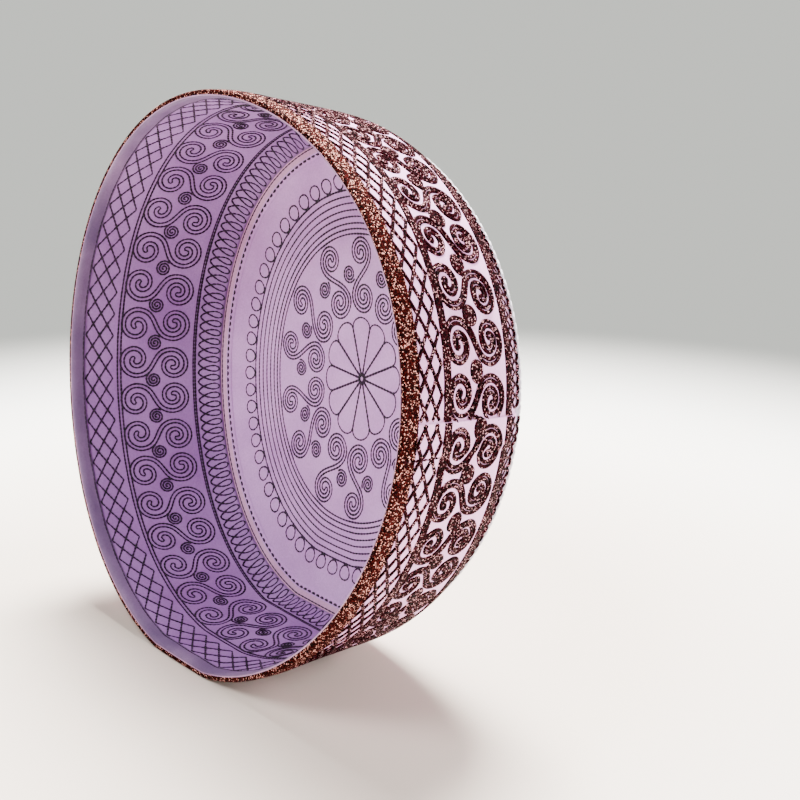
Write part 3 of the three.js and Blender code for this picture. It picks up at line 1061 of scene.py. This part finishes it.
@dataclass
class Band:
    """The quilted wall: its cloth, and the stitches on both of its faces."""

    form: CapForm
    pattern: BandPattern = BandPattern()
    columns: int = 640
    rows: int = 54
    even_margin: float = 0.25
    seam_columns: tuple[float, ...] = (-0.16, -0.08, 0.0, 0.08)
    puff: float = 0.16
    dip: float = 0.42
    inner_relief: float = 0.8
    quilted: Spot = (8.0, 53.0)
    lap_from: Spot = (5.0, 6.2)
    bound_edge: Spot = (-0.4, 1.0)
    tucked_edge: float = 0.8
    outer_thread: Thread = Thread(1.35, 0.42)
    lattice_thread: Thread = Thread(1.25, 0.4)
    loop_thread: Thread = Thread(0.95, 0.4)
    inner_thread: Thread = Thread(0.8, 0.18, 0.1)
    lap_thread: Thread = Thread(1.05, 0.55, 0.1, pitch=1.7, gap=0.25)
    outer_coil: Coil = Coil(49.6, 56.5, 2.3, 2.5)
    inner_coil: Coil = Coil(48.4, 54.9, 2.5, 1.75)
    outer_lines: tuple[float, ...] = (16.9, 17.95, 19.0, 46.9, 47.95, 49.0)
    inner_lines: tuple[float, ...] = (17.3, 18.6, 46.4, 47.2)
    drawn_lines: tuple[float, ...] = (17.6, 18.6, 46.9, 48.0)
    outer_step: float = 0.7
    inner_step: float = 0.8
    lap_seam: float = -88.2
    lap_seam_ends: Spot = (0.8, 17.4)
    lap_seam_points: int = 30
    raster_margin: float = 6.0
    raster_heights: Spot = (-4.0, 62.0)

    def stitching(self) -> StitchField:
        """Density of all the band's stitches, which draws its cloth in."""
        p = self.pattern
        strokes = p.scrolls(self.inner_step) + p.buds(self.inner_step) + p.lattice()
        strokes += p.loops(self.inner_coil) + p.lines(self.drawn_lines)
        ends = (p.lap_end - self.raster_margin, p.lap_end + 360.0 + self.raster_margin)
        low, high = ((end * MM_PER_DEGREE, height) for end, height in zip(ends, self.raster_heights))
        return StitchField.over(strokes, low, high, step=0.5, spread=0.75)

    def cloth(self) -> bpy.types.Object:
        """The wall: its section, out along one face and back along the other, carried round.

        Each face puffs between the stitches and dips at them. The outer face is pressed in under
        the binding and stands out over the lap, and the inner one is pressed in under the hem.
        """
        form = self.form
        lap = form.lap_angle - form.lap_half
        even = np.linspace(self.even_margin, 360.0 - self.even_margin, self.columns)
        angle = lap + np.concatenate([self.seam_columns, even])[:, None]
        strip = np.where(angle < lap + 1e-6, angle + 360.0, angle)
        up = np.linspace(form.band_foot, form.band_height, self.rows)
        relief = self.puff - self.dip * self.stitching().drawn(together(strip * MM_PER_DEGREE, up))
        foot, top = self.quilted
        relief *= smoothstep(up, form.band_foot, foot) * (1.0 - smoothstep(up, top, form.band_height))
        bound = 1.0 - smoothstep(up - form.binding_height, *self.bound_edge)
        lapped = form.lap_rise(angle) * smoothstep(up, *self.lap_from)
        outer = form.wall(up) - form.binding_press * bound + relief + lapped
        tucked = form.hem_press * (1.0 - smoothstep(up - form.hem_top, 0.0, self.tucked_edge))
        lining = form.wall(up) - form.band_thickness - form.corner_fill(up)
        inner = lining + tucked - relief * self.inner_relief
        height = np.concatenate([up, up[::-1]])
        points = form.place(angle, np.concatenate([outer, inner[:, ::-1]], axis=1), height)
        uv = together(angle * MM_PER_DEGREE, height) / MM_PER_CM
        faces = grid_faces(len(angle), len(height), True, True)
        across = np.arange(len(faces)) % len(height)
        slots = np.where((across >= self.rows) & (across < 2 * self.rows - 1), 1, 0)
        grid = ClothGrid(points, uv, (faces,), slots)
        piece = make_piece("band_cloth", grid, [OUTER_CLOTH.material(), INNER_CLOTH.material()])
        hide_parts("band")
        return piece

    def lap_line(self) -> Array:
        """The seam that holds the lap down, up through the binding and the lattice."""
        height = np.linspace(*self.lap_seam_ends, self.lap_seam_points)
        return together(self.lap_seam * MM_PER_DEGREE, height)

    def embroidery(self) -> list[bpy.types.Object]:
        """The raised thread on the outside."""
        ground = BandGround(self.form, Side.OUTSIDE)
        p = self.pattern
        finish = METAL_THREAD.material()
        parts = {
            "band_scrolls": self.outer_thread.strips(ground, p.scrolls(self.outer_step)),
            "band_buds": self.outer_thread.strips(ground, p.buds(self.outer_step)),
            "band_lattice": self.lattice_thread.strips(ground, p.lattice()),
            "band_borders": self.outer_thread.strips(ground, p.lines(self.outer_lines)),
            "band_loops": self.loop_thread.strips(ground, p.loops(self.outer_coil)),
            "lap_stitches": self.lap_thread.stitches(ground, [self.lap_line()]),
        }
        pieces = [make_piece(name, grid, [finish]) for name, grid in parts.items()]
        return pieces

    def lining(self) -> list[bpy.types.Object]:
        """The run stitches that show on the inside."""
        ground = BandGround(self.form, Side.INSIDE)
        p = self.pattern
        finish = DARK_STITCH.material()
        parts = {
            "lining_scrolls": p.scrolls(self.inner_step) + p.buds(self.inner_step),
            "lining_lattice": p.lattice(),
            "lining_lines": p.lines(self.inner_lines) + p.loops(self.inner_coil),
        }
        return [
            make_piece(name, self.inner_thread.stitches(ground, strokes), [finish])
            for name, strokes in parts.items()
        ]


@dataclass
class Crown:
    """The domed top panel: its cloth, and the stitches on both of its faces."""

    form: CapForm
    pattern: CrownPattern = CrownPattern()
    columns: int = 360
    rings: int = 80
    puff: float = 0.14
    dip: float = 0.34
    inner_relief: float = 0.6
    plain_edge: float = 3.0
    raster_reach: float = 80.0
    step: float = 0.8
    outer_thread: Thread = Thread(1.0, 0.4)
    inner_thread: Thread = Thread(0.88, 0.18, 0.1, pitch=1.6)
    spoke_thread: Thread = Thread(1.2, 0.22, 0.1, pitch=1.6)

    def strokes(self) -> dict[str, list[Array]]:
        """All the crown's strokes, by the name of their piece."""
        p = self.pattern
        return {
            "scrolls": p.scrolls(self.step) + p.buds(self.step),
            "rings": p.ring_lines() + p.chain(),
            "petals": p.petal_arcs(),
            "spokes": p.spokes(),
        }

    def cloth(self) -> bpy.types.Object:
        """The panel: the dome's section, out along one face and back, turned round the axis.

        Each face puffs between the stitches and dips at them, and both are plain at the edge.
        """
        form = self.form
        strokes = sum(self.strokes().values(), [])
        reach = self.raster_reach
        marks = StitchField.over(strokes, (-reach, -reach), (reach, reach), step=0.5, spread=0.7)
        angle = angles_round(self.columns)
        outwards = together(-np.sin(np.radians(angle)), -np.cos(np.radians(angle)))
        radius = np.linspace(0.0, form.panel_edge, self.rings + 1)[1:]
        relief = self.puff - self.dip * marks.drawn(radius[:, None] * outwards)
        relief *= 1.0 - smoothstep(radius, form.panel_edge - self.plain_edge, form.panel_edge)
        top = form.dome(radius) + relief
        under = form.dome(radius) - form.crown_thickness - relief * self.inner_relief
        section = np.concatenate([radius, radius[::-1]])
        points = form.place(angle, section, np.concatenate([top, under[:, ::-1]], axis=1)).reshape(-1, 3)
        tip = form.dome(0.0)
        poles = form.place(0.0, 0.0, np.array([tip, tip - form.crown_thickness]))
        uv = (section[:, None] * outwards).reshape(-1, 2) / MM_PER_CM
        wide = len(section)
        first = np.arange(self.columns) * wide
        after = np.roll(first, -1)
        fans = np.concatenate([
            together(first, after, len(points)),
            together(after + wide - 1, first + wide - 1, len(points) + 1),
        ])
        quads = grid_faces(self.columns, wide, True, False)
        slots = np.where(np.arange(len(quads)) % (wide - 1) >= self.rings, 1, 0)
        grid = ClothGrid(
            np.concatenate([points, poles]),
            np.concatenate([uv, np.zeros((2, 2))]),
            (quads, fans),
            np.concatenate([slots, np.repeat([0, 1], self.columns)]),
        )
        # The inner face wears the lining that is painted lighter with painted light.
        piece = make_piece("crown_cloth", grid, [OUTER_CLOTH.material(), LIT_CROWN_LINING.material()])
        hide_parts("crown_panel")
        return piece

    def embroidery(self) -> list[bpy.types.Object]:
        """The raised thread on the outside."""
        ground = CrownGround(self.form, Side.OUTSIDE)
        finish = METAL_THREAD.material()
        made = []
        for name, strokes in self.strokes().items():
            piece = make_piece(f"crown_{name}", self.outer_thread.strips(ground, strokes), [finish])
            made.append(piece)
        return made

    def lining(self) -> list[bpy.types.Object]:
        """The run stitches that show on the inside."""
        ground = CrownGround(self.form, Side.INSIDE)
        finish = DARK_STITCH.material()
        made = []
        for name, strokes in self.strokes().items():
            thread = self.spoke_thread if name == "spokes" else self.inner_thread
            grid = thread.stitches(ground, strokes)
            made.append(make_piece(f"crown_lining_{name}", grid, [finish]))
        return made


@dataclass
class Trim:
    """The edges: binding, hem, piping and seam tape.

    A roll is the part of a section that goes round the rim's edge, as (beyond the wall, height).
    """

    form: CapForm
    columns: int = 720
    binding_columns: int = 2200
    binding_rows: int = 9
    binding_foot: float = 0.5
    binding_roll: Table = (
        (0.24, 0.16), (-0.1, 0.02), (-0.6, 0.0), (-1.3, 0.05), (-1.3, 0.45), (-0.6, 0.5),
    )
    ridge: float = 0.11
    ridge_pitch: float = 0.76
    ridge_lean: float = 0.35
    hem_foot: float = 2.2
    hem_rows: int = 6
    hem_roll: Table = (
        (-1.5, 0.8), (-1.3, 0.5), (-1.2, 0.15), (-1.3, 0.02), (-1.65, 0.05), (-2.05, 0.5), (-2.3, 1.2),
    )
    # Sides of the hem's section that wear the painted light of the rim's edge.
    hem_lit_edge_sides: tuple[int, ...] = (8, 9)
    hem_waves: int = 41
    hem_wave: float = 0.05
    hem_line: float = 4.3
    hem_thread: Thread = Thread(0.7, 0.2, 0.1, 0.4, pitch=1.8, gap=0.06)
    bead_sides: int = 16
    zigzags: int = 150
    zigzag_points: int = 8
    zigzag_thread: Thread = Thread(0.8, 0.4, 0.1)
    tape_rows: int = 6
    tape_thinned: float = 0.9
    tape_edge: float = 0.3
    tape_edge_sides: tuple[int, ...] = (9, 10, 11, 12)
    seam_circle: float = 77.5
    corner_circle: float = 79.9
    circle_sides: int = 360

    def ring(self, radius: Array, height: Array, columns: int, second: tuple[int, ...] = ()) -> ClothGrid:
        """A closed section carried round the cap, its corners at (radius, height).

        Args:
            radius: radius of each corner, alone or for each column.
            height: height of each corner.
            columns: how many sections there are.
            second: sides of the section that wear the piece's second finish.

        Returns:
            The grid, with its UV places in centimetres.
        """
        angle = angles_round(columns)
        corners = len(height)
        radius = np.broadcast_to(radius, (columns, corners))
        across = arc_length(together(radius[0], height))
        faces = grid_faces(columns, corners, True, True)
        slots = np.isin(np.arange(len(faces)) % corners, second).astype(int) if second else None
        uv = together(angle * MM_PER_DEGREE, across) / MM_PER_CM
        return ClothGrid(self.form.place(angle, radius, height), uv, (faces,), slots)

    def binding(self) -> bpy.types.Object:
        """Close stitches round the rim: a thin shell up the outside that rolls over the edge.

        Its outer face has a ridge for each stitch, a cosine along the rim that leans with height.
        """
        form, rows = self.form, self.binding_rows
        beyond, roll = np.array(self.binding_roll).T
        out = np.linspace(form.binding_height, self.binding_foot, rows)
        outer, inner = np.full(rows, form.binding_proud), np.full(rows, form.leg_inner)
        beyond = np.concatenate([outer, beyond, inner])
        height = np.concatenate([out, roll, out[::-1]])
        along = angles_round(self.binding_columns) * MM_PER_DEGREE
        lean = np.cos(2 * np.pi * (along / self.ridge_pitch + height * self.ridge_lean))
        ridge = np.where(np.arange(len(height)) <= rows, self.ridge, 0.0)
        grid = self.ring(form.wall(height) + beyond + ridge * (lean - 1.0), height, self.binding_columns)
        piece = make_piece("binding_thread", grid, [BINDING_THREAD.material()])
        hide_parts("rim_binding")
        return piece

    def hem(self) -> list[bpy.types.Object]:
        """The strip turned up inside the rim and round its edge, and the stitches that hold it.

        Its inner face waves a little along the rim, as cloth does between stitches. That face is painted
        darker with painted shade, and the rolled edge paler with painted light.
        """
        form, rows = self.form, self.hem_rows
        beyond, roll = np.array(self.hem_roll).T
        inside = form.hem_outer - form.hem_thickness
        up = np.linspace(self.hem_foot, form.hem_top, rows)
        beyond = np.concatenate([np.full(rows, form.hem_outer), beyond, np.full(rows, inside)])
        height = np.concatenate([up[::-1], roll, up])
        wavy = self.hem_wave * np.cos(np.radians(angles_round(self.columns)) * self.hem_waves)
        radius = form.wall(height) + beyond + wavy * (np.arange(len(height)) > 2 * rows - 1)
        grid = self.ring(radius, height, self.columns, second=self.hem_lit_edge_sides)
        # The strip's face wears painted shade and its rolled edge painted light.
        strip = make_piece("hem_strip", grid, [SHADED_HEM_CLOTH.material(), LIT_EDGE_CLOTH.material()])
        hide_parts("inner_hem")
        lines = BandPattern().lines((self.hem_line,))
        grid = self.hem_thread.stitches(BandGround(form, Side.INSIDE), lines)
        return [strip, make_piece("hem_stitches", grid, [DARK_STITCH.material()])]

    def piping(self) -> list[bpy.types.Object]:
        """The white bead, an oval carried round and painted a little greyer than its stitches as painted
        shade, and a zigzag of stitches over it.
        """
        ground = BeadGround(self.form)
        section = ground.section(np.linspace(0.0, 2 * np.pi, self.bead_sides + 1)[:-1], 0.0)
        bead = make_piece("piping_bead", self.ring(*section, self.columns), [SHADED_PIPING_CLOTH.material()])
        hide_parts("crown_piping")
        at = np.linspace(0.0, 360.0, self.zigzags * self.zigzag_points + 1)
        swing = np.abs(np.mod(at * self.zigzags / 360.0, 1.0) * 2.0 - 1.0)
        zigzag = self.zigzag_thread.strips(ground, [together(at * MM_PER_DEGREE, swing)[:-1]])
        stitch = make_piece("piping_zigzag", zigzag, [PALE_STITCH.material()])
        return [bead, stitch]

    def tape(self) -> list[bpy.types.Object]:
        """The strip over the seam inside the crown, and the stitches along it."""
        form = self.form
        outer = form.crown_radius - form.band_thickness - form.clearance
        inner = outer - form.tape_width
        edge = form.panel_edge
        across = np.concatenate([[outer], np.linspace(edge, inner, self.tape_rows)])
        over = form.dome(np.minimum(across, edge)) - form.crown_thickness - form.clearance
        over[0] = form.bead_height - form.piping_radius
        thick = form.tape_thickness * (1.0 - self.tape_thinned * (across < inner + self.tape_edge))
        radius = np.concatenate([across, across[::-1]])
        height = np.concatenate([over, (over - thick)[::-1]])
        grid = self.ring(radius, height, self.columns, second=self.tape_edge_sides)
        # The tape's face wears the same lining, painted lighter with painted light.
        piece = make_piece("seam_tape", grid, [LIT_CROWN_LINING.material(), TAPE_CLOTH.material()])
        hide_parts("crown_seam_tape")
        made = [piece]
        ground = CrownGround(form, Side.INSIDE)
        lift = form.clearance + form.tape_thickness
        finish = DARK_STITCH.material()
        stitches = {
            "seam_stitches": (self.seam_circle, Thread(0.95, 0.2, 0.1, lift, pitch=2.5, gap=0.22)),
            "corner_stitches": (self.corner_circle, Thread(0.8, 0.3, 0.2, lift, pitch=2.0, gap=0.04)),
        }
        for name, (reach, thread) in stitches.items():
            grid = thread.stitches(ground, [circle(reach, self.circle_sides)])
            made.append(make_piece(name, grid, [finish]))
        return made


@dataclass(frozen=True)
class BeadGround:
    """The piping's face. Its flat pattern is (angle times MM_PER_DEGREE, share of the way over)."""

    form: CapForm
    low: float = 15.0
    high: float = 100.0
    flatness: float = 0.8
    pressed: float = 0.9

    def section(self, turn: Array, lift: Array) -> tuple[Array, Array]:
        """Radius and height of a point of the oval: pressed flat from outside and from above."""
        form = self.form
        wide = form.piping_radius - self.flatness * np.maximum(np.cos(turn), 0.0)
        tall = form.piping_radius - self.pressed * np.maximum(np.sin(turn), 0.0)
        radius = form.bead_radius + (wide + lift) * np.cos(turn)
        return radius, form.bead_height + (tall + lift) * np.sin(turn)

    def lay(self, plane: Array, lift: Array) -> Array:
        """Places of points of the flat pattern, at a height above the bead."""
        turn = np.radians(self.low + (self.high - self.low) * plane[..., 1])
        radius, height = self.section(turn, lift)
        return self.form.place(plane[..., 0] / MM_PER_DEGREE, radius, height)


@dataclass(frozen=True)
class Lamp:
    """A square soft light that points at the cap. Places and sizes are in metres."""

    name: str
    place: tuple[float, float, float]
    size: float
    watts: float
    colour: Colour

    def build(self, aim: tuple[float, float, float]) -> None:
        """Adds the light to the scene."""
        data = bpy.data.lights.new(self.name, "AREA")
        data.size = self.size
        data.energy = self.watts
        data.color = self.colour
        lamp = bpy.data.objects.new(self.name, data)
        turn = (Vector(aim) - Vector(self.place)).to_track_quat("-Z", "Y").to_matrix().to_4x4()
        lamp.matrix_world = Matrix.Translation(Vector(self.place)) @ turn
        bpy.context.scene.collection.objects.link(lamp)


@dataclass(frozen=True)
class Studio:
    """The floor, the lights and the camera. The camera's place is in millimetres."""

    camera_place: tuple[float, float, float] = (346.28, -205.14, 192.00)
    forward: tuple[float, float, float] = (-0.74556, 0.61485, -0.25709)
    right: tuple[float, float, float] = (0.63544, 0.77214, 0.00386)
    lens: float = 58.55
    sensor: float = 36.0
    aim: tuple[float, float, float] = (0.0, 0.0, 0.08)
    lamps: tuple[Lamp, ...] = (
        Lamp("overhead_light", (-0.35, 0.35, 1.15), 0.45, 120.0, (1.0, 0.99, 0.96)),
        Lamp("side_light", (1.0, 0.75, 0.55), 0.7, 30.0, (1.0, 0.97, 0.97)),
        Lamp("front_light", (0.0, -0.75, 1.2), 0.6, 18.0, (1.0, 0.97, 1.0)),
    )
    sky: Stops = ((0.04, screen(228, 230, 223)), (0.4, screen(96, 98, 98)))
    sky_strength: float = 1.05
    floor_sides: int = 64
    floor_rings: tuple[float, ...] = (0.5, 1.5, 4.0, 12.0)
    # Painted shadow: the floor's colour is darker and warmer near the cap.
    floor_painted_shadow: Stops = (
        (0.12, screen(222, 208, 194)), (0.34, screen(250, 248, 243)),
    )
    floor_fade: Stops = ((0.24, grey(1.0)), (0.54, grey(0.0)))

    def camera(self, shift: Array) -> None:
        """Puts the camera where the photograph was taken from."""
        data = bpy.data.cameras.new("camera")
        data.lens = self.lens
        data.sensor_width = self.sensor
        camera = bpy.data.objects.new("camera", data)
        forward, right = Vector(self.forward).normalized(), Vector(self.right).normalized()
        up = right.cross(forward).normalized()
        right = forward.cross(up)
        turn = Matrix((right, up, -forward)).transposed().to_4x4()
        place = Vector((np.array(self.camera_place) + shift) / MM_PER_METRE)
        camera.matrix_world = Matrix.Translation(place) @ turn
        bpy.context.scene.collection.objects.link(camera)
        bpy.context.scene.camera = camera

    def floor(self) -> None:
        """A wide pale floor that fades into the sky, with a painted shadow: a little darker and warmer near
        the cap.
        """
        sides, rings = self.floor_sides, np.array(self.floor_rings)
        way = np.radians(angles_round(sides))
        points = together(rings * np.cos(way), rings * np.sin(way), 0.0).reshape(-1, 3)
        quads = grid_faces(sides, len(rings), True, False)[:, ::-1]
        first = np.arange(sides) * len(rings)
        fan = together(len(points), first, np.roll(first, -1))
        mesh = bpy.data.meshes.new("floor")
        mesh.from_pydata([*points.tolist(), (0.0, 0.0, 0.0)], [], [*quads.tolist(), *fan.tolist()])
        mesh.update()
        shader = Shader("studio_floor")
        away = shader.add("ShaderNodeVectorMath", "distance", operation="LENGTH")
        shader.join(shader.map, "Object", away, 0)
        # The floor's colour paints the cap's shadow round it.
        tone = shader.ramp("floor painted shadow", away, "Value", self.floor_painted_shadow)
        shader.join(tone, "Color", shader.surface, "Base Color")
        fade = shader.ramp("floor edge", away, "Value", self.floor_fade)
        fade.color_ramp.interpolation = "EASE"
        shader.join(fade, "Color", shader.surface, "Alpha")
        shader.fix(roughness=0.7, specular_ior_level=0.2)
        mesh.materials.append(shader.material)
        floor = bpy.data.objects.new("floor", mesh)
        bpy.context.scene.collection.objects.link(floor)

    def lights(self) -> None:
        """The three lights, and a sky that is bright at the horizon and dimmer above.

        One light is overhead from behind, a softer one behind at the right, a small one in front.
        """
        for lamp in self.lamps:
            lamp.build(self.aim)
        world = bpy.data.worlds.new("studio")
        world.use_nodes = True
        tree = world.node_tree
        sky = tree.nodes["Background"]
        way = tree.nodes.new("ShaderNodeTexCoord")
        parts = tree.nodes.new("ShaderNodeSeparateXYZ")
        ramp = tree.nodes.new("ShaderNodeValToRGB")
        for element, (place, colour) in zip(ramp.color_ramp.elements, self.sky):
            element.position, element.color = place, (*colour, 1.0)
        tree.links.new(way.outputs["Generated"], parts.inputs["Vector"])
        tree.links.new(parts.outputs["Z"], ramp.inputs["Fac"])
        tree.links.new(ramp.outputs["Color"], sky.inputs["Color"])
        sky.inputs["Strength"].default_value = self.sky_strength
        bpy.context.scene.world = world

    def build(self, shift: Array) -> None:
        """Sets up the whole studio."""
        self.floor()
        self.lights()
        self.camera(shift)


def main() -> None:
    """Loads the frame, builds every piece in order and sets the scene."""
    logging.basicConfig(level=logging.INFO, format="%(name)s: %(message)s")
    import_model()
    form = CapForm()
    form.settle()
    Studio().build(form.shift)
    band = Band(form)
    band.cloth()
    band.embroidery()
    band.lining()
    crown = Crown(form)
    crown.cloth()
    crown.embroidery()
    crown.lining()
    trim = Trim(form)
    trim.binding()
    trim.hem()
    trim.piping()
    trim.tape()


if __name__ == "__main__":
    main()
